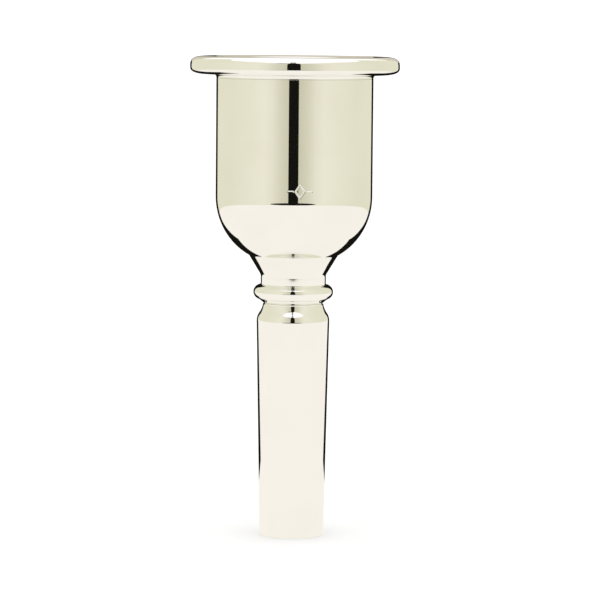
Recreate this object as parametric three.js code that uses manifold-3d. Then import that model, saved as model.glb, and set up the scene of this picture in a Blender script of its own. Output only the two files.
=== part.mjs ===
// A screw-together mouthpiece for a large-bore brass instrument.
//
// Three turned brass pieces on one axis: the shank that plugs into the instrument, the cup,
// and the rim that the lips rest on. Each joint between them is a right-hand thread that
// stops on a flat shoulder, with a thin rubber ring in an undercut beside the shoulder.
//
// Millimetres, +Z up. The origin is the middle of the open tip, with the rim at the top.

import * as THREE from 'three';
import { mergeVertices } from 'three/addons/utils/BufferGeometryUtils.js';
import Module from 'manifold-3d';

const wasm = await Module();
wasm.setup();

// ---------------------------------------------------------------- driving dimensions

const totalLength = 90.9;
const rimRadius = 19.75;
const cupWallRadius = 14.8;
const biteRadius = 13.0;
const throatRadius = 3.5;
const tipRadius = 6.06;
const tipBoreRadius = 5.2;
const shankTaperPerMm = 0.0202; // growth of the radius: a taper of about 1 in 25 on the diameter
const shankShoulderZ = 41.8;
const shankSeatZ = 44.3;
const rimSeatZ = 86.8;
const grooveRadius = 5.53; // foot of the V groove where cup and shank meet
const seatGap = 0.02; // left between two seated shoulders

const threadPitch = 1.0; // both joints
const threadDepth = 0.5;
const threadFlankWidth = 0.7; // width of a ridge at its root
const threadCrestWidth = 0.14;
const threadClearance = 0.1; // radially and on each flank

const shankThreadRadius = 4.8; // over the crests of the male thread
const shankThreadLength = 4.6;
const rimThreadRadius = 13.9;
const rimThreadLength = 4.1;

const sealSectionRadius = 0.4;
const sealRecessDepth = 0.92; // counterbore in the female piece that takes a seal ring
const sealSlack = 0.04;

const wideSides = 36; // sides of a circle on the cup and the rim
const narrowSides = 24; // sides of a circle on the shank and its socket
const sealSides = 8;

const spigotChamfer = 0.35; // on the end of each spigot
const threadRelief = 0.05; // room left outside the crests of a female thread
const threadRunIn = 0.6; // share of the pitch by which a helix starts below its lowest ridge
const ridgeRoot = 0.15; // how far a ridge is buried in the metal it stands on
const socketChamfer = 0.45; // at both ends of a tapped hole
const overlap = 0.1; // by which cutting and joining bodies reach past each other

// ---------------------------------------------------------------- worked-out dimensions

const equatorZ = totalLength - 2.0; // the rim's widest circle
const biteZ = totalLength - 1.5;
const throatTopZ = 57.0;
const throatBottomZ = 52.0;

const shankSpigotEndZ = shankSeatZ + 7.6;
const shankSocketEndZ = shankSpigotEndZ + 0.3;
const shankThreadTopZ = shankSpigotEndZ - spigotChamfer;
const shankThreadBottomZ = shankThreadTopZ - shankThreadLength;
const shankPhaseZ = shankThreadBottomZ - threadRunIn * threadPitch;
const shankSealRadius = shankThreadRadius - 0.1; // of the circle through the ring's section

const rimSpigotEndZ = rimSeatZ - 5.6;
const rimSocketEndZ = rimSpigotEndZ - 0.3;
const rimThreadBottomZ = rimSpigotEndZ + 0.4;
const rimThreadTopZ = rimThreadBottomZ + rimThreadLength;
const rimPhaseZ = rimThreadBottomZ - threadRunIn * threadPitch;
const rimSealRadius = rimThreadRadius - 0.18;

// ---------------------------------------------------------------- outlines

// An outline is a list of [radius, height] points. It runs up the outside of a piece and
// down its inside, and ends where it began.

/**
 * A point on an ellipse, at an angle in degrees from the outward radius. A fullness above 2
 * swells the ellipse towards the rectangle round it.
 */
function ellipsePoint(centre, semiAxes, degrees, fullness = 2) {
  const angle = THREE.MathUtils.degToRad(degrees);
  const swollen = (share) => Math.sign(share) * Math.abs(share) ** (2 / fullness);
  return [
    centre[0] + semiAxes[0] * swollen(Math.cos(angle)),
    centre[1] + semiAxes[1] * swollen(Math.sin(angle)),
  ];
}

function ellipsePoints(centre, semiAxes, fromDegrees, toDegrees, steps, fullness = 2) {
  const points = [];
  for (let i = 0; i <= steps; i++) {
    const degrees = fromDegrees + ((toDegrees - fromDegrees) * i) / steps;
    points.push(ellipsePoint(centre, semiAxes, degrees, fullness));
  }
  return points;
}

function arcPoints(centre, radius, fromDegrees, toDegrees, steps) {
  return ellipsePoints(centre, [radius, radius], fromDegrees, toDegrees, steps);
}

/** Points of a wall whose radius is a formula of its height, both ends included. */
function wallPoints(radiusAt, fromZ, toZ, steps) {
  const points = [];
  for (let i = 0; i <= steps; i++) {
    const z = fromZ + ((toZ - fromZ) * i) / steps;
    points.push([radiusAt(z), z]);
  }
  return points;
}

/** A curve that leaves a point towards a corner and arrives at another from that corner. */
function bend(start, corner, end, steps) {
  const curve = new THREE.QuadraticBezierCurve(
    new THREE.Vector2(...start),
    new THREE.Vector2(...corner),
    new THREE.Vector2(...end),
  );
  return curve.getPoints(steps).map((point) => [point.x, point.y]);
}

/** The inside of the cup: nearly upright under the bite, closing to a cone at the throat. */
function cupBoreRadius(z) {
  const height = (z - throatTopZ) / (biteZ - throatTopZ);
  return throatRadius + (biteRadius - throatRadius) * (1 - (1 - height) ** 2.2);
}

/** The backbore: it widens from the throat down to the tip. */
function backboreRadius(z) {
  return throatRadius + (tipBoreRadius - throatRadius) * (1 - z / throatBottomZ) ** 0.85;
}

function shankRadius(z) {
  return tipRadius + shankTaperPerMm * z;
}

/** The ring-shaped solid that an outline sweeps round the Z axis. */
function turned(outline, sides) {
  const points = [...outline, outline[0]].map(([radius, z]) => new THREE.Vector2(radius, z));
  return new THREE.LatheGeometry(points, sides).rotateX(Math.PI / 2);
}

// ---------------------------------------------------------------- solids and threads

/** A closed geometry as a solid that can be joined and cut. */
function solid(geometry) {
  geometry.deleteAttribute('normal');
  geometry.deleteAttribute('uv');
  const merged = mergeVertices(geometry);
  return new wasm.Manifold(
    new wasm.Mesh({
      numProp: 3,
      vertProperties: new Float32Array(merged.attributes.position.array),
      triVerts: new Uint32Array(merged.index.array),
    }),
  );
}

function geometryOf(manifold) {
  const { vertProperties, triVerts } = manifold.getMesh();
  const geometry = new THREE.BufferGeometry();
  geometry.setAttribute('position', new THREE.BufferAttribute(vertProperties, 3));
  geometry.setIndex(new THREE.BufferAttribute(triVerts, 1));
  geometry.computeVertexNormals();
  return geometry;
}

/**
 * A right-hand screw ridge: a section of [radius, height] points swept up a helix.
 * The section runs anticlockwise with the radius to the right and the height up.
 */
function helicalRidge(section, startZ, endZ, sides) {
  const steps = Math.ceil(((endZ - startZ) / threadPitch) * sides);
  const positions = [];
  for (let i = 0; i <= steps; i++) {
    const angle = (2 * Math.PI * i) / sides;
    const rise = startZ + (threadPitch * i) / sides;
    for (const [radius, height] of section) {
      positions.push(radius * Math.sin(angle), -radius * Math.cos(angle), rise + height);
    }
  }
  const count = section.length;
  const triangles = [];
  for (let i = 0; i < steps; i++) {
    for (let j = 0; j < count; j++) {
      const here = i * count + j;
      const above = i * count + ((j + 1) % count);
      triangles.push(here, here + count, above);
      triangles.push(above + count, above, here + count);
    }
  }
  const last = steps * count;
  for (let j = 1; j < count - 1; j++) {
    triangles.push(0, j, j + 1);
    triangles.push(last, last + j + 1, last + j);
  }
  const geometry = new THREE.BufferGeometry();
  geometry.setAttribute('position', new THREE.Float32BufferAttribute(positions, 3));
  geometry.setIndex(triangles);
  return geometry;
}

/** A ridge's section, grown by a clearance for the cut of the female thread. */
function threadSection(crestRadius, clearance) {
  const root = crestRadius - threadDepth + clearance;
  const crest = crestRadius + clearance;
  const buried = root - ridgeRoot;
  const slope = (threadFlankWidth - threadCrestWidth) / 2 / threadDepth;
  const halfRoot = threadFlankWidth / 2 + clearance - slope * clearance;
  const halfCrest = threadCrestWidth / 2 + clearance - slope * clearance;
  return [
    [buried, -halfRoot],
    [root, -halfRoot],
    [crest, -halfCrest],
    [crest, halfCrest],
    [root, halfRoot],
    [buried, halfRoot],
  ];
}

/**
 * The male thread's ridges, trimmed to the blank they are cut from: it is chamfered at
 * both ends, so the ridges fade out there. The helix starts at phaseZ whatever is kept.
 */
function maleRidges(crestRadius, phaseZ, bottomZ, topZ, sides) {
  const section = threadSection(crestRadius, 0);
  const ridge = solid(helicalRidge(section, phaseZ, topZ + threadPitch, sides));
  const core = section[0][0] - overlap;
  const over = crestRadius + overlap;
  const blank = [
    [core, bottomZ],
    [crestRadius - threadDepth, bottomZ],
    [over, bottomZ + threadDepth + overlap],
    [over, topZ - threadDepth - overlap],
    [crestRadius - threadDepth, topZ],
    [core, topZ],
  ];
  return ridge.intersect(solid(turned(blank, sides)));
}

/** What a tap leaves open beyond the plain hole, between two heights. */
function femaleGrooves(crestRadius, phaseZ, bottomZ, topZ, sides) {
  const section = threadSection(crestRadius, threadClearance);
  const ridge = solid(helicalRidge(section, phaseZ - threadPitch, topZ + threadPitch, sides));
  const stretch = [
    [section[0][0] - overlap, bottomZ],
    [crestRadius + threadDepth, bottomZ],
    [crestRadius + threadDepth, topZ],
    [section[0][0] - overlap, topZ],
  ];
  return ridge.intersect(solid(turned(stretch, sides)));
}

// ---------------------------------------------------------------- the pieces

/** Tapered plug for the instrument's receiver, with the backbore and a threaded spigot. */
function shankGeometry() {
  const edge = 0.2;
  const core = shankThreadRadius - threadDepth;
  const undercut = core - 0.1;
  const shoulder = shankRadius(shankShoulderZ);
  const neck = { radius: grooveRadius + 0.22, topZ: shankSeatZ - 0.2 };
  const flareStart = [shoulder - 0.05, shankShoulderZ + 0.05];
  const flareBend = [neck.radius + 0.07, shankSeatZ - 1.15];
  const outline = [
    [tipRadius - edge, 0],
    [shankRadius(edge), edge],
    [shoulder, shankShoulderZ - edge],
    ...bend(flareStart, flareBend, [neck.radius, neck.topZ], 5),
    [grooveRadius, shankSeatZ],
    [undercut, shankSeatZ],
    [undercut, shankThreadBottomZ - 0.1],
    [core, shankThreadBottomZ],
    [core, shankThreadTopZ],
    [core - spigotChamfer, shankSpigotEndZ],
    ...wallPoints(backboreRadius, shankSpigotEndZ, edge, 6),
    [tipBoreRadius + edge, 0],
  ];
  const ridges = maleRidges(
    shankThreadRadius,
    shankPhaseZ,
    shankThreadBottomZ,
    shankThreadTopZ,
    narrowSides,
  );
  return geometryOf(solid(turned(outline, narrowSides)).add(ridges));
}

/** The heavy bowl, with a bead and a waist below it and a threaded socket at each end. */
function cupGeometry() {
  const bottomZ = shankSeatZ + seatGap;
  const topZ = rimSeatZ - seatGap;

  const bead = { centre: [6.15, shankSeatZ + 2.15], radius: 1.4 };
  const waist = { radius: 6.17, topZ: shankSeatZ + 5.4 };
  const neckAngle = THREE.MathUtils.degToRad(31.2); // between the neck and the axis
  const neckDirection = [Math.sin(neckAngle), Math.cos(neckAngle)];
  const bowl = { centre: [cupWallRadius - 12.0, rimSeatZ - 22.25], semiAxes: [12.0, 12.6] };

  const beadEndDegrees = THREE.MathUtils.radToDeg(
    Math.acos((waist.radius - bead.centre[0]) / bead.radius),
  );
  const waistTop = [waist.radius, waist.topZ];
  const crease = whereLineMeetsEllipse(waistTop, neckDirection, bowl);
  const creaseDegrees = THREE.MathUtils.radToDeg(
    Math.atan2(
      (crease[1] - bowl.centre[1]) / bowl.semiAxes[1],
      (crease[0] - bowl.centre[0]) / bowl.semiAxes[0],
    ),
  );

  const outside = [
    [grooveRadius, bottomZ],
    ...arcPoints(bead.centre, bead.radius, -75, beadEndDegrees, 6),
    waistTop,
    ...ellipsePoints(bowl.centre, bowl.semiAxes, creaseDegrees, 0, 8),
    [cupWallRadius, topZ],
  ];
  const inside = [
    ...wallPoints(cupBoreRadius, topZ, throatTopZ, 7),
    [throatRadius, bottomZ],
  ];
  const body = solid(turned([...outside, ...inside], wideSides));
  return geometryOf(body.subtract(shankSocket()).subtract(rimSocket()));
}

/** Where a line that leaves a point in a direction first meets an ellipse. */
function whereLineMeetsEllipse(start, direction, ellipse) {
  const step = direction.map((share, k) => share / ellipse.semiAxes[k]);
  const offset = start.map((place, k) => (place - ellipse.centre[k]) / ellipse.semiAxes[k]);
  const stepSquared = step[0] ** 2 + step[1] ** 2;
  const half = offset[0] * step[0] + offset[1] * step[1];
  const rest = offset[0] ** 2 + offset[1] ** 2 - 1;
  const distance = (-half - Math.sqrt(half ** 2 - stepSquared * rest)) / stepSquared;
  return start.map((place, k) => place + distance * direction[k]);
}

/** The space that the shank's spigot screws into, open at the cup's lower end. */
function shankSocket() {
  const hole = shankThreadRadius - threadDepth + threadClearance;
  const relief = shankThreadRadius + threadClearance + threadRelief;
  const recess = sealOuterRadius(shankSealRadius) + sealSlack;
  const recessTopZ = shankSeatZ + sealRecessDepth;
  const reliefBottomZ = shankThreadTopZ - 0.1;
  const outline = [
    [throatRadius - 0.5, shankSeatZ - 1],
    [recess, shankSeatZ - 1],
    [recess, recessTopZ],
    [relief, recessTopZ],
    [hole, recessTopZ + socketChamfer],
    [hole, reliefBottomZ - socketChamfer],
    [relief, reliefBottomZ],
    [relief, shankSocketEndZ],
    [throatRadius - 0.5, shankSocketEndZ],
  ];
  const grooves = femaleGrooves(
    shankThreadRadius,
    shankPhaseZ,
    recessTopZ - overlap,
    reliefBottomZ + overlap,
    narrowSides,
  );
  return solid(turned(outline, narrowSides)).add(grooves);
}

/** The space that the rim's spigot screws into, open at the cup's upper end. */
function rimSocket() {
  const hole = rimThreadRadius - threadDepth + threadClearance;
  const relief = rimThreadRadius + threadClearance + threadRelief;
  const recess = sealOuterRadius(rimSealRadius) + sealSlack;
  const recessBottomZ = rimSeatZ - sealRecessDepth;
  const reliefTopZ = rimThreadBottomZ + 0.1;
  const insideRadius = biteRadius - 2;
  const outline = [
    [insideRadius, rimSocketEndZ],
    [relief, rimSocketEndZ],
    [relief, reliefTopZ],
    [hole, reliefTopZ + socketChamfer],
    [hole, recessBottomZ - socketChamfer],
    [relief, recessBottomZ],
    [recess, recessBottomZ],
    [recess, rimSeatZ + 1],
    [insideRadius, rimSeatZ + 1],
  ];
  const grooves = femaleGrooves(
    rimThreadRadius,
    rimPhaseZ,
    reliefTopZ - overlap,
    recessBottomZ + overlap,
    wideSides,
  );
  return solid(turned(outline, wideSides)).add(grooves);
}

/** The rounded ring that meets the lips, with the top of the cup inside it and a spigot. */
function rimGeometry() {
  const crestRadius = 16.3;
  const creaseRadius = 0.65; // of the hollow between the rim's underside and the cup's wall
  const creaseZ = rimSeatZ + 0.05;
  const undersideZ = creaseZ + creaseRadius;
  const core = rimThreadRadius - threadDepth;
  const undercut = core - 0.2;
  const outerTop = [rimRadius - crestRadius, totalLength - equatorZ];
  const outerBottom = [rimRadius - crestRadius, equatorZ - undersideZ];
  const innerTop = [crestRadius - biteRadius, totalLength - biteZ];
  const outline = [
    [cupWallRadius, rimSeatZ],
    ...arcPoints([cupWallRadius + creaseRadius, creaseZ], creaseRadius, 180, 90, 3),
    ...ellipsePoints([crestRadius, equatorZ], outerBottom, -90, 0, 5, 2.7),
    ...ellipsePoints([crestRadius, equatorZ], outerTop, 0, 90, 6, 3.3).slice(1),
    ...ellipsePoints([crestRadius, biteZ], innerTop, 90, 180, 4).slice(1),
    ...wallPoints(cupBoreRadius, biteZ, rimSpigotEndZ, 3).slice(1),
    [core - spigotChamfer, rimSpigotEndZ],
    [core, rimThreadBottomZ],
    [core, rimThreadTopZ],
    [undercut, rimThreadTopZ + 0.1],
    [undercut, rimSeatZ],
  ];
  const ridges = maleRidges(
    rimThreadRadius,
    rimPhaseZ,
    rimThreadBottomZ,
    rimThreadTopZ,
    wideSides,
  );
  return geometryOf(solid(turned(outline, wideSides)).add(ridges));
}

function sealOuterRadius(ringRadius) {
  return ringRadius + sealSectionRadius;
}

function sealGeometry(ringRadius, centreZ, sides) {
  const step = 360 / sealSides;
  const outline = arcPoints([ringRadius, centreZ], sealSectionRadius, 0, 360 - step, sealSides - 1);
  return geometryOf(solid(turned(outline, sides)));
}

// ---------------------------------------------------------------- the assembly

const silverPlate = { color: 0xe6e4de, roughness: 0.08, metalness: 1.0 };
const blackRubber = { color: 0x17181a, roughness: 0.6, metalness: 0.0 };

function piece(name, geometry, look) {
  const mesh = new THREE.Mesh(geometry, new THREE.MeshStandardMaterial(look));
  mesh.name = name;
  return mesh;
}

const shankSealZ = shankSeatZ + sealRecessDepth / 2;
const rimSealZ = rimSeatZ - sealRecessDepth / 2;
const shankSeal = sealGeometry(shankSealRadius, shankSealZ, narrowSides);
const rimSeal = sealGeometry(rimSealRadius, rimSealZ, wideSides);

const group = new THREE.Group();
group.name = 'mouthpiece';
group.add(
  piece('shank', shankGeometry(), silverPlate),
  piece('shank_seal_ring', shankSeal, blackRubber),
  piece('cup', cupGeometry(), silverPlate),
  piece('rim_seal_ring', rimSeal, blackRubber),
  piece('rim', rimGeometry(), silverPlate),
);

export default group;
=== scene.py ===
"""A silver-plated, screw-together mouthpiece standing on its tip in a plain pale studio.

Three turned pieces and two rubber rings, each a finely turned mesh that stands for its CAD node.
Outlines are in millimetres and meshes in metres, +Z up, with the tip's middle at the origin.
Angles round the axis are in degrees from the side that faces the camera, anticlockwise from above.
"""

import math

import bmesh
import bpy
import numpy as np
from mathutils import Matrix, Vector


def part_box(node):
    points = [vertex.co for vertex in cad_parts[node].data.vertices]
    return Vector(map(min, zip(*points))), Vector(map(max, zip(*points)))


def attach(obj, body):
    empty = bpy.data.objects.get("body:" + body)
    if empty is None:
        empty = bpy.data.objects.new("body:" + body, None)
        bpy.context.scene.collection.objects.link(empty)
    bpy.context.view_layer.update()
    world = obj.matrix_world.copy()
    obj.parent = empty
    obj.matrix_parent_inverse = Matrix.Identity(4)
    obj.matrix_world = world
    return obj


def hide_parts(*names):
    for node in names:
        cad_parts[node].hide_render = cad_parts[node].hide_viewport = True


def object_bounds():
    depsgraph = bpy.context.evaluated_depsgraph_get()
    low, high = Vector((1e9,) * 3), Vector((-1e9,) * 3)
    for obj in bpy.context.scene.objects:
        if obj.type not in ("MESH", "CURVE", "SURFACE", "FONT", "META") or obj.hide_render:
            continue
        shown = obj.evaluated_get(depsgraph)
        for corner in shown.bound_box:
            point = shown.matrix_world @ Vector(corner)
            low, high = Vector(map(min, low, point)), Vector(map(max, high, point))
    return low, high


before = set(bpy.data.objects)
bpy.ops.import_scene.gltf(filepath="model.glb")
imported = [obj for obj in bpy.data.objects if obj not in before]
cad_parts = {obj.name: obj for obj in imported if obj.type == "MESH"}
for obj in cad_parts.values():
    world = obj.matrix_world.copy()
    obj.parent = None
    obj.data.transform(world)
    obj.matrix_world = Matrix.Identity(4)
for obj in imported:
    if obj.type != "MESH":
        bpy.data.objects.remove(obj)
cad_low, cad_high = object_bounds()

MM = 0.001

# ------------------------------------------------------------ dimensions, in millimetres


def node_top(node):
    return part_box(node)[1].z / MM


def node_bottom(node):
    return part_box(node)[0].z / MM


def node_radius(node):
    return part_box(node)[1].x / MM


TOTAL_LENGTH = cad_high.z / MM
RIM_RADIUS = node_radius("rim")
WALL_RADIUS = node_radius("cup")
SHOULDER_RADIUS = node_radius("shank")
SEAT_GAP = 0.02
SHANK_SEAT_Z = node_bottom("cup") - SEAT_GAP
RIM_SEAT_Z = node_top("cup") + SEAT_GAP
SHANK_SPIGOT_END_Z = node_top("shank")
RIM_SPIGOT_END_Z = node_bottom("rim")

BITE_RADIUS = 13.0
THROAT_RADIUS = 3.5
THROAT_TOP_Z = 57.0
THROAT_BOTTOM_Z = 52.0
TIP_BORE_RADIUS = 5.2
TIP_EDGE = 0.2
SHANK_TAPER = 0.0202
SHOULDER_Z = 41.8
GROOVE_RADIUS = 5.53
EQUATOR_Z = TOTAL_LENGTH - 2.0
BITE_Z = TOTAL_LENGTH - 1.5

PITCH = 1.0
THREAD_DEPTH = 0.5
THREAD_CLEARANCE = 0.1
THREAD_CHAMFER = 0.45
HALF_ROOT = 0.35
HALF_CREST = 0.07
SPIGOT_CHAMFER = 0.35
SHANK_THREAD_RADIUS = 4.8
SHANK_THREAD_LENGTH = 4.6
SHANK_THREAD_TOP_Z = SHANK_SPIGOT_END_Z - SPIGOT_CHAMFER
SHANK_THREAD_BOTTOM_Z = SHANK_THREAD_TOP_Z - SHANK_THREAD_LENGTH
RIM_THREAD_RADIUS = 13.9
RIM_THREAD_LENGTH = 4.1
RIM_THREAD_BOTTOM_Z = RIM_SPIGOT_END_Z + 0.4
RIM_THREAD_TOP_Z = RIM_THREAD_BOTTOM_Z + RIM_THREAD_LENGTH
PHASE_DROP = 0.6  # how far below a thread's lower end its helix starts
SOCKET_RELIEF = 0.15  # how far a socket's relief is outside the thread's crests
SOCKET_SPARE_DEPTH = 0.3  # room past the end of a spigot
RUN_OUT = 0.1  # how far a thread's relief or undercut reaches past its end
SEAL_RECESS_DEPTH = 0.92
SEAL_SLACK = 0.04

ORNAMENT_Z = 66.2
ORNAMENT_DEGREES = 4.4
LOZENGE_HALF_WIDTH = 0.85
LOZENGE_HALF_HEIGHT = 1.15
DASH_OFFSET = 1.75
DASH_HALF_LENGTH = 0.42
STROKE_HALF_WIDTH = 0.17
STROKE_DEPTH = 0.07
ORNAMENT_STEP = 0.055  # between the rows and columns of the mesh across it

# ------------------------------------------------------------ outlines
#
# A path is an array of rows [radius, height, rounding]. A rounding above zero cuts a corner
# back by that much on both sides and joins the cuts with a curve.


def corner(radius, height, rounding=0.05):
    return np.array([[radius, height, rounding]])


def curve(points):
    """Points of a smooth curve as rows of a path."""
    points = np.asarray(points, float)
    return np.column_stack([points, np.zeros(len(points))])


def ellipse(centre, semi_axes, start, end, step=3.0, fullness=2.0):
    """
    Points round an ellipse, between two angles in degrees from the outward radius. A
    fullness above 2 swells it towards the rectangle round it.
    """
    count = max(2, math.ceil(abs(end - start) / step))
    angles = np.radians(np.linspace(start, end, count + 1))
    shares = np.stack([np.cos(angles), np.sin(angles)], axis=-1)
    swollen = np.sign(shares) * np.abs(shares) ** (2 / fullness)
    return np.asarray(centre) + np.asarray(semi_axes) * swollen


def arc(centre, radius, start, end, step=3.0):
    return ellipse(centre, (radius, radius), start, end, step)


def wall(radius_at, start, end, step=0.6):
    """Points of a wall whose radius is a formula of its height."""
    heights = np.linspace(start, end, math.ceil(abs(end - start) / step) + 1)
    return np.column_stack([radius_at(heights), heights])


def bezier(first, control, last, steps=8):
    """Points of a quadratic curve, both ends included."""
    t = np.linspace(0, 1, steps + 1)[:, None]
    first, control, last = (np.asarray(p, float) for p in (first, control, last))
    return (1 - t) ** 2 * first + 2 * t * (1 - t) * control + t**2 * last


def lengths_along(points):
    steps = np.linalg.norm(np.diff(points, axis=0), axis=1)
    return np.concatenate([[0], np.cumsum(steps)])


def rounded(path):
    """The path's points, with its corners cut back and rounded."""
    points = path[:, :2]
    along = lengths_along(points)
    corners = [i for i in range(len(path)) if path[i, 2] > 0]

    def at(distance):
        return [np.interp(distance, along, points[:, k]) for k in (0, 1)]

    found = []
    for i, distance in enumerate(along):
        near = [abs(distance - along[c]) <= path[c, 2] for c in corners]
        if not any(near):
            found.append((distance, points[i]))
    for c in corners:
        start, end = along[c] - path[c, 2], along[c] + path[c, 2]
        bend = bezier(at(start), points[c], at(end))
        found.extend(zip(np.linspace(start, end, len(bend)), bend))
    found.sort(key=lambda item: item[0])
    return np.array([point for _, point in found])


def guarded(points, longest=2.0, guard=0.04):
    """
    The points, with more on each long straight stretch: one close to each end, so that
    the shading of a flat stretch isn't bent by the curve beside it, and some between.
    """
    out = [points[0]]
    for start, end in zip(points[:-1], points[1:]):
        length = np.linalg.norm(end - start)
        if length > 6 * guard:
            shares = np.linspace(
                guard / length, 1 - guard / length, math.ceil(length / longest) + 1
            )
            out.extend(start + share * (end - start) for share in shares)
        out.append(end)
    return np.array(out)


def with_heights(points, radius, heights):
    """The points, with more on the upright wall of that radius, at the given heights."""
    on_wall = np.abs(points[:, 0] - radius) < 1e-6
    inside = (points[:, 1] > heights[0]) & (points[:, 1] < heights[-1])
    last_below = np.flatnonzero(on_wall & (points[:, 1] <= heights[0]))[-1]
    added = np.column_stack([np.full(len(heights), radius), heights])
    kept = ~(on_wall & inside)
    before = points[: last_below + 1][kept[: last_below + 1]]
    after = points[last_below + 1 :][kept[last_below + 1 :]]
    return np.vstack([before, added, after])


# ------------------------------------------------------------ turned meshes


def evenly(count):
    return np.linspace(0, 2 * math.pi, count, endpoint=False)


def grid_faces(rows, columns):
    """Quads between neighbouring rows and columns of a grid of vertices."""
    i, j = np.meshgrid(np.arange(rows - 1), np.arange(columns - 1), indexing="ij")
    here = (i * columns + j).ravel()
    return np.column_stack([here, here + 1, here + columns + 1, here + columns])


def swept(radii, heights, angles):
    """Vertices, in metres, of a grid whose rows are circles or helices round the axis."""
    return MM * np.stack(
        [radii * np.sin(angles), -radii * np.cos(angles), heights + 0 * angles], axis=-1
    )


def lathe(points, angles):
    """An outline turned round the axis, as vertices and quads that end where they began."""
    turn = np.append(angles, angles[0] + 2 * math.pi)
    radii = np.repeat(points[:, :1], len(turn), axis=1)
    heights = np.repeat(points[:, 1:], len(turn), axis=1)
    vertices = swept(radii, heights, turn[None, :])
    return vertices, grid_faces(*vertices.shape[:2])


def thread_shape(offset, half_root, half_crest):
    """Height of a thread's ridge, from 0 to 1, at a distance from its middle."""
    distance = np.abs(offset - PITCH * np.round(offset / PITCH))
    return np.clip((half_root - distance) / (half_root - half_crest), 0, 1)


def thread_band(radius_at, phase_z, low, high, angles, rows_per_turn=20):
    """
    The threaded wall between two heights, in rows that climb with the thread. The rows
    are held between the heights, so both ends of the band are plain circles.
    """
    turn = np.append(angles, angles[0] + 2 * math.pi)
    rows = math.ceil((high - low + PITCH) / PITCH * rows_per_turn) + 1
    start = phase_z + PITCH * math.floor((low - PITCH - phase_z) / PITCH)
    climb = start + PITCH * np.arange(rows + rows_per_turn)[:, None] / rows_per_turn
    heights = np.clip(climb + PITCH * turn[None, :] / (2 * math.pi), low, high)
    offset = heights - phase_z - PITCH * turn[None, :] / (2 * math.pi)
    vertices = swept(radius_at(heights, offset), heights, turn[None, :])
    return vertices, grid_faces(*vertices.shape[:2])


def male_thread(crest_radius, low, high):
    """Radius of a male thread: ridges on a core, cut off by the chamfers of its blank."""
    core = crest_radius - THREAD_DEPTH

    def radius_at(heights, offset):
        ridge = core + THREAD_DEPTH * thread_shape(offset, HALF_ROOT, HALF_CREST)
        blank = core + np.minimum(heights - low, high - heights)
        return np.minimum(ridge, np.clip(blank, core, crest_radius))

    return radius_at


def female_thread(crest_radius, low, high):
    """Radius of a tapped hole: grooves in a plain hole that is countersunk at both ends."""
    hole = crest_radius - THREAD_DEPTH + THREAD_CLEARANCE
    relief = crest_radius + SOCKET_RELIEF
    slope = (HALF_ROOT - HALF_CREST) / THREAD_DEPTH
    widened = THREAD_CLEARANCE * (1 - slope)

    def radius_at(heights, offset):
        shape = thread_shape(offset, HALF_ROOT + widened, HALF_CREST + widened)
        from_end = np.minimum(heights - low, high - heights)
        sunk = relief - (relief - hole) * np.clip(from_end / THREAD_CHAMFER, 0, 1)
        return np.maximum(sunk, hole + THREAD_DEPTH * shape)

    return radius_at


def mesh_piece(name, parts, materials):
    """One closed mesh from grids that share their end circles: (vertices, quads, material)."""
    mesh = bpy.data.meshes.new(name)
    vertices = []
    faces = []
    finishes = []
    for grid, quads, finish in parts:
        faces.append(quads + sum(len(v) for v in vertices))
        vertices.append(grid.reshape(-1, 3))
        finishes.append(np.full(len(quads), finish))
    mesh.from_pydata(np.concatenate(vertices), [], np.concatenate(faces).tolist())
    for material in materials:
        mesh.materials.append(material)
    mesh.polygons.foreach_set("material_index", np.concatenate(finishes))
    work = bmesh.new()
    work.from_mesh(mesh)
    bmesh.ops.remove_doubles(work, verts=work.verts, dist=1e-7)
    bmesh.ops.dissolve_degenerate(work, edges=work.edges, dist=1e-8)
    bmesh.ops.recalc_face_normals(work, faces=work.faces)
    for face in work.faces:
        face.smooth = True
    work.to_mesh(mesh)
    work.free()
    piece = bpy.data.objects.new(name, mesh)
    bpy.context.scene.collection.objects.link(piece)
    return piece


# ------------------------------------------------------------ the shape of each piece

POLISHED, MACHINED = 0, 1


def shank_radius(z):
    return SHOULDER_RADIUS - SHANK_TAPER * (SHOULDER_Z - z)


def backbore_radius(z):
    widening = TIP_BORE_RADIUS - THROAT_RADIUS
    return THROAT_RADIUS + widening * (1 - z / THROAT_BOTTOM_Z) ** 0.85


def cup_bore_radius(z):
    height = (z - THROAT_TOP_Z) / (BITE_Z - THROAT_TOP_Z)
    return THROAT_RADIUS + (BITE_RADIUS - THROAT_RADIUS) * (1 - (1 - height) ** 2.2)


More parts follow.
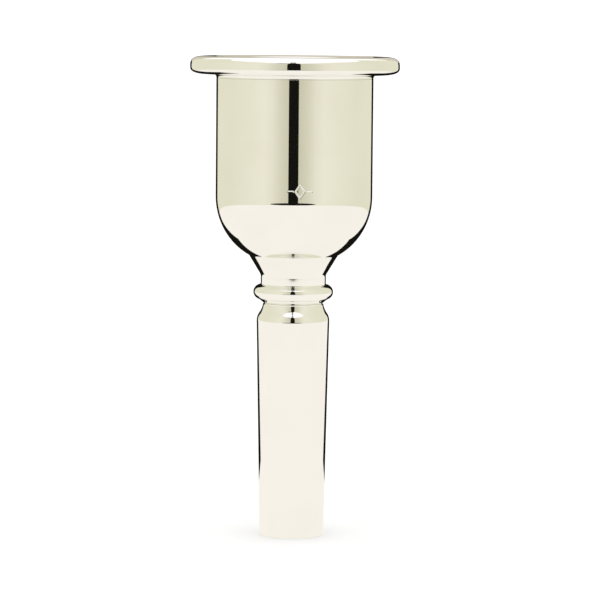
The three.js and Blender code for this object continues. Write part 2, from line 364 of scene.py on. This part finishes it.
def shank_parts():
    angles = evenly(224)
    core = SHANK_THREAD_RADIUS - THREAD_DEPTH
    undercut = core - RUN_OUT
    neck_top_z = SHANK_SEAT_Z - 0.2
    neck_radius = GROOVE_RADIUS + 0.22
    flare = bezier(
        (SHOULDER_RADIUS - 0.05, SHOULDER_Z + 0.05),
        (neck_radius + 0.07, SHANK_SEAT_Z - 1.15),
        (neck_radius, neck_top_z),
        steps=24,
    )
    tip_face_radius = TIP_BORE_RADIUS + TIP_EDGE + 0.2
    inside = np.vstack(
        [
            corner(core, SHANK_THREAD_TOP_Z, 0),
            corner(core - SPIGOT_CHAMFER, SHANK_SPIGOT_END_Z, 0.06),
            corner(backbore_radius(SHANK_SPIGOT_END_Z), SHANK_SPIGOT_END_Z, 0.06),
            curve(wall(backbore_radius, SHANK_SPIGOT_END_Z - 0.3, TIP_EDGE)),
            corner(TIP_BORE_RADIUS + TIP_EDGE, 0, 0.07),
            corner(tip_face_radius, 0, 0),
        ]
    )
    outside = np.vstack(
        [
            corner(tip_face_radius, 0, 0),
            corner(shank_radius(0) - TIP_EDGE, 0, 0.08),
            corner(shank_radius(TIP_EDGE), TIP_EDGE, 0.08),
            corner(SHOULDER_RADIUS, SHOULDER_Z, 0.9),
            curve(flare[1:-1]),
            corner(neck_radius, neck_top_z, 0.05),
            corner(GROOVE_RADIUS, SHANK_SEAT_Z, 0.03),
            corner(undercut, SHANK_SEAT_Z, 0.05),
            corner(undercut, SHANK_THREAD_BOTTOM_Z - RUN_OUT, 0.03),
            corner(core, SHANK_THREAD_BOTTOM_Z, 0),
        ]
    )
    low, high = SHANK_THREAD_BOTTOM_Z, SHANK_THREAD_TOP_Z
    thread = thread_band(
        male_thread(SHANK_THREAD_RADIUS, low, high), low - PHASE_DROP, low, high, angles
    )
    return [
        (*lathe(guarded(rounded(outside)), angles), POLISHED),
        (*thread, MACHINED),
        (*lathe(guarded(rounded(inside)), angles), MACHINED),
    ]


def where_line_meets_ellipse(start, direction, centre, semi_axes):
    """Where a line that leaves a point in a direction first meets an ellipse."""
    step = direction / semi_axes
    offset = (start - centre) / semi_axes
    half = offset @ step
    rest = offset @ offset - 1
    distance = (-half - math.sqrt(half**2 - (step @ step) * rest)) / (step @ step)
    return start + direction * distance


def cup_outside():
    """The cup from its lower shoulder up to its upper one: bead, waist, neck and bowl."""
    bead_centre = np.array([6.15, SHANK_SEAT_Z + 2.15])
    bead_radius = 1.4
    bead_points = arc(bead_centre, bead_radius, -75, 86)
    waist_radius = 6.17
    waist_top = np.array([waist_radius, SHANK_SEAT_Z + 5.4])
    neck_angle = math.radians(31.2)
    neck = np.array([math.sin(neck_angle), math.cos(neck_angle)])
    bowl_axes = np.array([12.0, 12.6])
    bowl_centre = np.array([WALL_RADIUS - bowl_axes[0], RIM_SEAT_Z - 22.25])

    crease = where_line_meets_ellipse(waist_top, neck, bowl_centre, bowl_axes)
    reach = (crease - bowl_centre) / bowl_axes
    crease_degrees = math.degrees(math.atan2(reach[1], reach[0]))
    return np.vstack(
        [
            corner(GROOVE_RADIUS, node_bottom("cup"), 0.03),
            curve(bead_points),
            corner(waist_radius, bead_centre[1] + bead_radius, 0.1),
            corner(*waist_top, 0.3),
            corner(*crease, 0.12),
            curve(ellipse(bowl_centre, bowl_axes, crease_degrees, 0, 1)[1:]),
            corner(WALL_RADIUS, node_top("cup"), 0.05),
        ]
    )


def ornament_depth(across, up):
    """Depth of the engraved ornament, a lozenge between two dashes, about its middle."""
    slope = math.hypot(1 / LOZENGE_HALF_WIDTH, 1 / LOZENGE_HALF_HEIGHT)
    lozenge = np.abs(across) / LOZENGE_HALF_WIDTH + np.abs(up) / LOZENGE_HALF_HEIGHT
    from_lozenge = np.abs(lozenge - 1) / slope
    past_dash = np.maximum(np.abs(np.abs(across) - DASH_OFFSET) - DASH_HALF_LENGTH, 0)
    from_dash = np.hypot(past_dash, up)
    nearest = np.minimum(from_lozenge, from_dash)
    return STROKE_DEPTH * np.clip(1 - nearest / STROKE_HALF_WIDTH, 0, 1)


def engraved(vertices):
    """The wall's vertices, sunk where the ornament is."""
    x, y, z = (vertices[..., k] / MM for k in range(3))
    angle = np.arctan2(x, -y) - math.radians(ORNAMENT_DEGREES)
    depth = ornament_depth(WALL_RADIUS * angle, z - ORNAMENT_Z)
    radius = np.hypot(x, y)
    depth = np.where(radius > WALL_RADIUS - 0.01, depth, 0)
    keep = ((radius - depth) / radius)[..., None]
    return np.concatenate([vertices[..., :2] * keep, vertices[..., 2:]], axis=-1)


def cup_angles():
    """Columns round the cup, much closer together across the ornament."""
    half_width = (DASH_OFFSET + DASH_HALF_LENGTH + 2 * STROKE_HALF_WIDTH) / WALL_RADIUS
    middle = math.radians(ORNAMENT_DEGREES)
    fine = np.arange(middle - half_width, middle + half_width, ORNAMENT_STEP / WALL_RADIUS)
    coarse = evenly(256)
    away = np.abs((coarse - middle + math.pi) % (2 * math.pi) - math.pi)
    return np.unique(np.concatenate([fine % (2 * math.pi), coarse[away > half_width + 0.01]]))


def ornament_heights():
    """Heights of the rows of the cup's wall across the ornament, and a little past it."""
    half_height = LOZENGE_HALF_HEIGHT + 0.3
    share = np.arange(-1.5, 1.5, ORNAMENT_STEP) / 1.5
    return share * half_height + ORNAMENT_Z


def cup_parts():
    angles = cup_angles()
    shank_relief = SHANK_THREAD_RADIUS + SOCKET_RELIEF
    shank_recess = node_radius("shank_seal_ring") + SEAL_SLACK
    shank_recess_top = SHANK_SEAT_Z + SEAL_RECESS_DEPTH
    shank_relief_bottom = SHANK_THREAD_TOP_Z - RUN_OUT
    shank_socket_end = SHANK_SPIGOT_END_Z + SOCKET_SPARE_DEPTH
    rim_relief = RIM_THREAD_RADIUS + SOCKET_RELIEF
    rim_recess = node_radius("rim_seal_ring") + SEAL_SLACK
    rim_recess_bottom = RIM_SEAT_Z - SEAL_RECESS_DEPTH
    rim_relief_top = RIM_THREAD_BOTTOM_Z + RUN_OUT
    rim_socket_end = RIM_SPIGOT_END_Z - SOCKET_SPARE_DEPTH

    outline = np.vstack(
        [
            corner(shank_relief, shank_recess_top, 0),
            corner(shank_recess, shank_recess_top, 0.04),
            corner(shank_recess, node_bottom("cup"), 0.05),
            cup_outside(),
            corner(rim_recess, node_top("cup"), 0.05),
            corner(rim_recess, rim_recess_bottom, 0.04),
            corner(rim_relief, rim_recess_bottom, 0),
        ]
    )
    outline = with_heights(guarded(rounded(outline)), WALL_RADIUS, ornament_heights())
    vertices, quads = lathe(outline, angles)
    bore = np.vstack(
        [
            corner(rim_relief, rim_relief_top, 0),
            corner(rim_relief, rim_socket_end, 0.05),
            corner(cup_bore_radius(rim_socket_end), rim_socket_end, 0.05),
            curve(wall(cup_bore_radius, rim_socket_end - 0.3, THROAT_TOP_Z)),
            corner(THROAT_RADIUS, shank_socket_end, 0.1),
            corner(shank_relief, shank_socket_end, 0.05),
            corner(shank_relief, shank_relief_bottom, 0),
        ]
    )
    rim_thread = thread_band(
        female_thread(RIM_THREAD_RADIUS, rim_relief_top, rim_recess_bottom),
        RIM_THREAD_BOTTOM_Z - PHASE_DROP,
        rim_relief_top,
        rim_recess_bottom,
        angles,
    )
    shank_thread = thread_band(
        female_thread(SHANK_THREAD_RADIUS, shank_recess_top, shank_relief_bottom),
        SHANK_THREAD_BOTTOM_Z - PHASE_DROP,
        shank_recess_top,
        shank_relief_bottom,
        angles,
    )
    return [
        (engraved(vertices), quads, POLISHED),
        (*rim_thread, MACHINED),
        (*lathe(guarded(rounded(bore)), angles), POLISHED),
        (*shank_thread, MACHINED),
    ]


def rim_parts():
    angles = evenly(288)
    crest_radius = 16.3
    crease_radius = 0.65
    crease_centre = (WALL_RADIUS + crease_radius, RIM_SEAT_Z + 0.05)
    underside_z = crease_centre[1] + crease_radius
    core = RIM_THREAD_RADIUS - THREAD_DEPTH
    undercut = core - 0.2
    outer_bottom = (RIM_RADIUS - crest_radius, EQUATOR_Z - underside_z)
    outer_top = (RIM_RADIUS - crest_radius, TOTAL_LENGTH - EQUATOR_Z)
    inner_top = (crest_radius - BITE_RADIUS, TOTAL_LENGTH - BITE_Z)
    low, high = RIM_THREAD_BOTTOM_Z, RIM_THREAD_TOP_Z
    outline = np.vstack(
        [
            corner(core, high, 0),
            corner(undercut, high + RUN_OUT, 0.03),
            corner(undercut, RIM_SEAT_Z, 0.05),
            corner(WALL_RADIUS, RIM_SEAT_Z, 0.03),
            curve(arc(crease_centre, crease_radius, 180, 90, 6)),
            curve(ellipse((crest_radius, EQUATOR_Z), outer_bottom, -90, 0, 2, 2.7)),
            curve(ellipse((crest_radius, EQUATOR_Z), outer_top, 0, 90, 2, 3.3)[1:]),
            curve(ellipse((crest_radius, BITE_Z), inner_top, 90, 180)[1:]),
            curve(wall(cup_bore_radius, BITE_Z - 0.3, RIM_SPIGOT_END_Z + 0.3)),
            corner(cup_bore_radius(RIM_SPIGOT_END_Z), RIM_SPIGOT_END_Z, 0.08),
            corner(core - SPIGOT_CHAMFER, RIM_SPIGOT_END_Z, 0.08),
            corner(core, low, 0),
        ]
    )
    thread = thread_band(
        male_thread(RIM_THREAD_RADIUS, low, high), low - PHASE_DROP, low, high, angles
    )
    return [
        (*lathe(guarded(rounded(outline)), angles), POLISHED),
        (*thread, MACHINED),
    ]


def seal_parts(node):
    """A round-section rubber ring."""
    section_radius = (node_top(node) - node_bottom(node)) / 2
    centre = (node_radius(node) - section_radius, node_bottom(node) + section_radius)
    points = arc(centre, section_radius, 0, 360, 10)
    return [(*lathe(points, evenly(192)), 0)]


# ------------------------------------------------------------ materials


def new_material(name):
    material = bpy.data.materials.new(name)
    material.use_nodes = True
    material.node_tree.nodes.clear()
    return material


def add_node(material, kind, **values):
    """A new node, with its inputs set by name and its other settings by attribute."""
    node = material.node_tree.nodes.new(kind)
    for name, value in values.items():
        if name in node.inputs:
            node.inputs[name].default_value = value
        else:
            setattr(node, name, value)
    return node


def link(material, start, end):
    material.node_tree.links.new(start, end)


def noise(material, place, scale, detail=3.0, roughness=0.5):
    node = add_node(
        material, "ShaderNodeTexNoise", Scale=scale, Detail=detail, Roughness=roughness
    )
    link(material, place, node.inputs["Vector"])
    return node.outputs["Fac"]


def stretched(material, coordinates, scale):
    """The object's coordinates, scaled differently along each axis."""
    node = add_node(material, "ShaderNodeMapping", Scale=scale)
    link(material, coordinates, node.inputs["Vector"])
    return node.outputs["Vector"]


def between(material, factor, low, high, start=0.0, end=1.0):
    """A factor's stretch from start to end, mapped to the stretch from low to high."""
    node = add_node(material, "ShaderNodeMapRange")
    link(material, factor, node.inputs["Value"])
    node.inputs["From Min"].default_value = start
    node.inputs["From Max"].default_value = end
    node.inputs["To Min"].default_value = low
    node.inputs["To Max"].default_value = high
    return node.outputs["Result"]


def silver(name, roughness, turning_depth):
    """Silver plate: faint tarnish, wiping marks in the gloss and fine turning lines."""
    material = new_material(name)
    place = add_node(material, "ShaderNodeTexCoord").outputs["Object"]
    shader = add_node(material, "ShaderNodeBsdfPrincipled", Metallic=1.0)
    output = add_node(material, "ShaderNodeOutputMaterial")
    link(material, shader.outputs["BSDF"], output.inputs["Surface"])

    tarnish = add_node(material, "ShaderNodeMix", data_type="RGBA")
    tarnish.inputs["A"].default_value = (0.975, 0.97, 0.96, 1)
    tarnish.inputs["B"].default_value = (0.955, 0.945, 0.925, 1)
    patches = between(material, noise(material, place, 90), 0, 1, 0.45, 0.7)
    link(material, patches, tarnish.inputs["Factor"])
    link(material, tarnish.outputs["Result"], shader.inputs["Base Color"])

    smears = noise(material, stretched(material, place, (1, 1, 0.35)), 260, 5, 0.6)
    gloss = between(material, smears, roughness[0], roughness[1], 0.35, 0.75)
    link(material, gloss, shader.inputs["Roughness"])

    lines = noise(material, stretched(material, place, (0.002, 0.002, 1)), 9000, 2, 0.5)
    grain = noise(material, place, 5000, 2, 0.5)
    relief = add_node(material, "ShaderNodeMath", operation="MULTIPLY_ADD")
    link(material, grain, relief.inputs[0])
    relief.inputs[1].default_value = 0.3
    link(material, lines, relief.inputs[2])
    bump = add_node(material, "ShaderNodeBump", Strength=1.0, Distance=turning_depth)
    link(material, relief.outputs["Value"], bump.inputs["Height"])
    link(material, bump.outputs["Normal"], shader.inputs["Normal"])
    return material


def rubber(name):
    """Matt black nitrile with a fine grain and a little dust."""
    material = new_material(name)
    place = add_node(material, "ShaderNodeTexCoord").outputs["Object"]
    shader = add_node(material, "ShaderNodeBsdfPrincipled", Metallic=0.0)
    output = add_node(material, "ShaderNodeOutputMaterial")
    link(material, shader.outputs["BSDF"], output.inputs["Surface"])
    dust = add_node(material, "ShaderNodeMix", data_type="RGBA")
    dust.inputs["A"].default_value = (0.012, 0.012, 0.013, 1)
    dust.inputs["B"].default_value = (0.035, 0.034, 0.033, 1)
    patches = between(material, noise(material, place, 1500), 0, 1, 0.5, 0.8)
    link(material, patches, dust.inputs["Factor"])
    link(material, dust.outputs["Result"], shader.inputs["Base Color"])
    dullness = between(material, noise(material, place, 2500), 0.5, 0.75)
    link(material, dullness, shader.inputs["Roughness"])
    bump = add_node(material, "ShaderNodeBump", Strength=0.4, Distance=0.00002)
    link(material, noise(material, place, 12000, 2), bump.inputs["Height"])
    link(material, bump.outputs["Normal"], shader.inputs["Normal"])
    return material


# ------------------------------------------------------------ the pieces


def add_piece(node, body, parts, materials):
    piece = mesh_piece(node + "_look", parts, materials)
    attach(piece, body)
    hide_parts(node)


def add_pieces():
    metal = [
        silver("silver_polished", (0.02, 0.05), 2e-8),
        silver("silver_machined", (0.12, 0.2), 4e-7),
    ]
    add_piece("shank", "shank", shank_parts(), metal)
    add_piece("cup", "cup", cup_parts(), metal)
    add_piece("rim", "rim", rim_parts(), metal)
    black = [rubber("rubber_black")]
    for node, body in (("shank_seal_ring", "shank_seal"), ("rim_seal_ring", "rim_seal")):
        add_piece(node, body, seal_parts(node), black)


# ------------------------------------------------------------ the studio
#
# The room is white. Round the object stand glowing cards that only its reflections see, painted
# reflections that light nothing: a beige tent with a dark slit at the front, a dark backdrop, and
# a white floor. Turns are in degrees round the axis from the front.

CARD_STRENGTH = 1.04
TENT_RADIUS = 157.0
TENT_BOTTOM_Z = 36.6
TENT_TOP_Z = 200.0  # in front; it rises towards the sides
TENT_TOP_RISE = 85.0
TENT_TOP_STEEPNESS = 2.5
TENT_END_DEGREES = 150.0
SLIT_DEGREES = (-8.0, 5.8)
DOME_Z = 174.0  # where the slit's rounded top starts
STEM_DEGREES = (-6.0, 1.5)
STEM_TOP_Z = 310.0
BACK_Y = 66.0
BACKDROP_EDGE = [(69, 0), (63, 12), (56, 28), (48, 42), (48, 96)]  # half-width and height
HAZE_EDGE = [(48, 96), (48, 128)]


def linear(red, green, blue):
    """A colour in sRGB, 0 to 255, as linear light."""
    shares = np.array([red, green, blue]) / 255
    dark = shares / 12.92
    bright = ((shares + 0.055) / 1.055) ** 2.4
    return (*np.where(shares <= 0.04045, dark, bright), 1.0)


def glow(name, colour):
    """A plain even glow, the same in all directions."""
    material = new_material(name)
    emission = add_node(material, "ShaderNodeEmission", Color=colour, Strength=CARD_STRENGTH)
    output = add_node(material, "ShaderNodeOutputMaterial")
    link(material, emission.outputs["Emission"], output.inputs["Surface"])
    return material


def tent_glow():
    """The tent's glow, a painted reflection that lights nothing: its colour changes round the
    axis, and is dimmest at the front.
    """
    material = new_material("painted_tent_reflection")
    place = add_node(material, "ShaderNodeTexCoord").outputs["Object"]
    split = add_node(material, "ShaderNodeSeparateXYZ")
    link(material, place, split.inputs["Vector"])
    turn = add_node(material, "ShaderNodeMath", operation="ARCTAN2")
    link(material, split.outputs["X"], turn.inputs[0])
    back = add_node(material, "ShaderNodeMath", operation="MULTIPLY")
    link(material, split.outputs["Y"], back.inputs[0])
    back.inputs[1].default_value = -1
    link(material, back.outputs["Value"], turn.inputs[1])
    away = add_node(material, "ShaderNodeMath", operation="ABSOLUTE")
    link(material, turn.outputs["Value"], away.inputs[0])
    share = between(material, away.outputs["Value"], 0, 1, 0, math.pi)
    ramp = add_node(material, "ShaderNodeValToRGB")
    # Painted reflection colours, by turn round the axis from the front.
    stops = [
        (0, (198, 196, 172)),
        (10, (203, 200, 177)),
        (18, (211, 208, 186)),
        (30, (226, 223, 203)),
        (42, (232, 229, 210)),
        (98, (223, 222, 199)),
        (150, (225, 223, 200)),
    ]
    elements = ramp.color_ramp.elements
    while len(elements) < len(stops):
        elements.new(0.5)
    for element, (degrees, colour) in zip(elements, stops):
        element.position = degrees / 180
        element.color = linear(*colour)
    link(material, share, ramp.inputs["Fac"])
    emission = add_node(material, "ShaderNodeEmission", Strength=CARD_STRENGTH)
    link(material, ramp.outputs["Color"], emission.inputs["Color"])
    output = add_node(material, "ShaderNodeOutputMaterial")
    link(material, emission.outputs["Emission"], output.inputs["Surface"])
    return material


def stage_mesh(name, vertices, faces, material, only_reflected=True):
    mesh = bpy.data.meshes.new(name)
    mesh.from_pydata([MM * np.asarray(v, float) for v in vertices], [], faces)
    mesh.materials.append(material)
    thing = bpy.data.objects.new(name, mesh)
    bpy.context.scene.collection.objects.link(thing)
    if only_reflected:
        thing.visible_camera = False
        thing.visible_diffuse = False
        thing.visible_shadow = False
        thing.visible_transmission = False
    return thing


def tent_top(degrees):
    """Height of the tent's upper edge: it rises from the front to the sides."""
    share = TENT_TOP_STEEPNESS * (1 - math.cos(math.radians(degrees)))
    return TENT_TOP_Z + TENT_TOP_RISE * min(1, share)


def level(height):
    """The edge of a card that is at one height all the way round."""
    return lambda degrees: height


def curved_card(name, radius, degrees, bottom_at, top_at, material):
    """A card bent round the object, between two angles and two heights found for each."""
    count = max(2, math.ceil((degrees[1] - degrees[0]) / 2))
    vertices = []
    for turn in np.linspace(*degrees, count + 1):
        x, y = radius * math.sin(math.radians(turn)), -radius * math.cos(math.radians(turn))
        vertices.append((x, y, bottom_at(turn)))
        vertices.append((x, y, top_at(turn)))
    faces = [(2 * i, 2 * i + 2, 2 * i + 3, 2 * i + 1) for i in range(count)]
    return stage_mesh(name, vertices, faces, material)


def upright_card(name, edge, material):
    """An upright card behind the object, from [half-width, height] points of its edge."""
    vertices = [(side * half_width, BACK_Y, z) for half_width, z in edge for side in (-1, 1)]
    faces = [(2 * i, 2 * i + 1, 2 * i + 3, 2 * i + 2) for i in range(len(edge) - 1)]
    return stage_mesh(name, vertices, faces, material)


def flat_card(name, x, y, z, material, only_reflected=True):
    vertices = [(x[0], y[0], z), (x[1], y[0], z), (x[1], y[1], z), (x[0], y[1], z)]
    return stage_mesh(name, vertices, [(0, 1, 2, 3)], material, only_reflected)


def lens_card(name, middle, half_width, half_height, material):
    """A lens-shaped card just inside the tent, about a middle given as a turn and a height."""
    vertices = []
    radius = TENT_RADIUS - 2
    steps = 48
    for i in range(steps + 1):
        across = 2 * i / steps - 1
        turn = math.radians(middle[0] + across * half_width)
        tall = half_height * math.sqrt(max(0.0, 1 - across**2))
        for z in (middle[1] - tall, middle[1] + tall):
            vertices.append((radius * math.sin(turn), -radius * math.cos(turn), z))
    faces = [(2 * i, 2 * i + 2, 2 * i + 3, 2 * i + 1) for i in range(steps)]
    return stage_mesh(name, vertices, faces, material)


def add_tent():
    # Painted reflections: glowing sheets in black, grey, beige and white that light nothing and
    # that only the metal's reflections see.
    black = glow("painted_dark_reflection", linear(20, 19, 15))
    grey = glow("painted_stem_reflection", linear(150, 145, 130))
    haze = glow("painted_haze_reflection", linear(205, 198, 180))
    white = glow("painted_floor_reflection", linear(245, 241, 232))

    bottom = level(TENT_BOTTOM_Z)
    sides = (-TENT_END_DEGREES, TENT_END_DEGREES)
    slit_middle = sum(SLIT_DEGREES) / 2
    slit_half = (SLIT_DEGREES[1] - SLIT_DEGREES[0]) / 2
    curved_card("tent", TENT_RADIUS, sides, bottom, tent_top, tent_glow())
    curved_card("slit", TENT_RADIUS - 1, SLIT_DEGREES, bottom, level(DOME_Z), black)
    lens_card("slit_dome", (slit_middle, DOME_Z), slit_half, TENT_TOP_Z - DOME_Z, black)
    lens_card("slit_foot", (-1.5, TENT_BOTTOM_Z + 4.6), 32, 4.8, black)
    lens_card("slit_branch", (-10, TENT_TOP_Z - 9), 12, 9.0, black)
    curved_card("stem", TENT_RADIUS - 1, STEM_DEGREES, tent_top, level(STEM_TOP_Z), grey)

    upright_card("backdrop", BACKDROP_EDGE, black)
    upright_card("haze", HAZE_EDGE, haze)
    reach = (-3000, 3000)
    flat_card("floor_glow", reach, reach, -0.2, white)


def add_floor():
    """The pale floor, which the camera sees and reflections don't."""
    material = new_material("floor_pale")
    shader = add_node(material, "ShaderNodeBsdfDiffuse", Color=(0.97, 0.97, 0.97, 1))
    output = add_node(material, "ShaderNodeOutputMaterial")
    link(material, shader.outputs["BSDF"], output.inputs["Surface"])
    reach = (-4000, 4000)
    floor = flat_card("floor", reach, reach, 0, material, only_reflected=False)
    floor.visible_glossy = False


def add_room():
    world = bpy.data.worlds.new("white_room")
    world.use_nodes = True
    background = world.node_tree.nodes["Background"]
    background.inputs["Color"].default_value = (1, 1, 1, 1)
    background.inputs["Strength"].default_value = 1.15
    bpy.context.scene.world = world


def add_camera():
    """A long lens a little above the rim, looking slightly down at the middle."""
    distance = 0.600
    height = 0.0994
    pitch = math.radians(5.194)
    aim_right = 0.0013
    data = bpy.data.cameras.new("camera")
    data.lens = 190.7
    data.sensor_width = 36
    data.clip_start = 0.01
    camera = bpy.data.objects.new("camera", data)
    camera.location = (0, -distance, height)
    camera.rotation_mode = "XYZ"
    turn = Matrix.Rotation(-math.atan2(aim_right, distance), 3, "Z")
    tilt = Matrix.Rotation(math.pi / 2 - pitch, 3, "X")
    roll = Matrix.Rotation(math.radians(0.48), 3, "Z")
    camera.rotation_euler = (turn @ tilt @ roll).to_euler()
    bpy.context.scene.collection.objects.link(camera)
    bpy.context.scene.camera = camera


add_pieces()
add_tent()
add_floor()
add_room()
add_camera()
bpy.context.scene.view_settings.view_transform = "Standard"
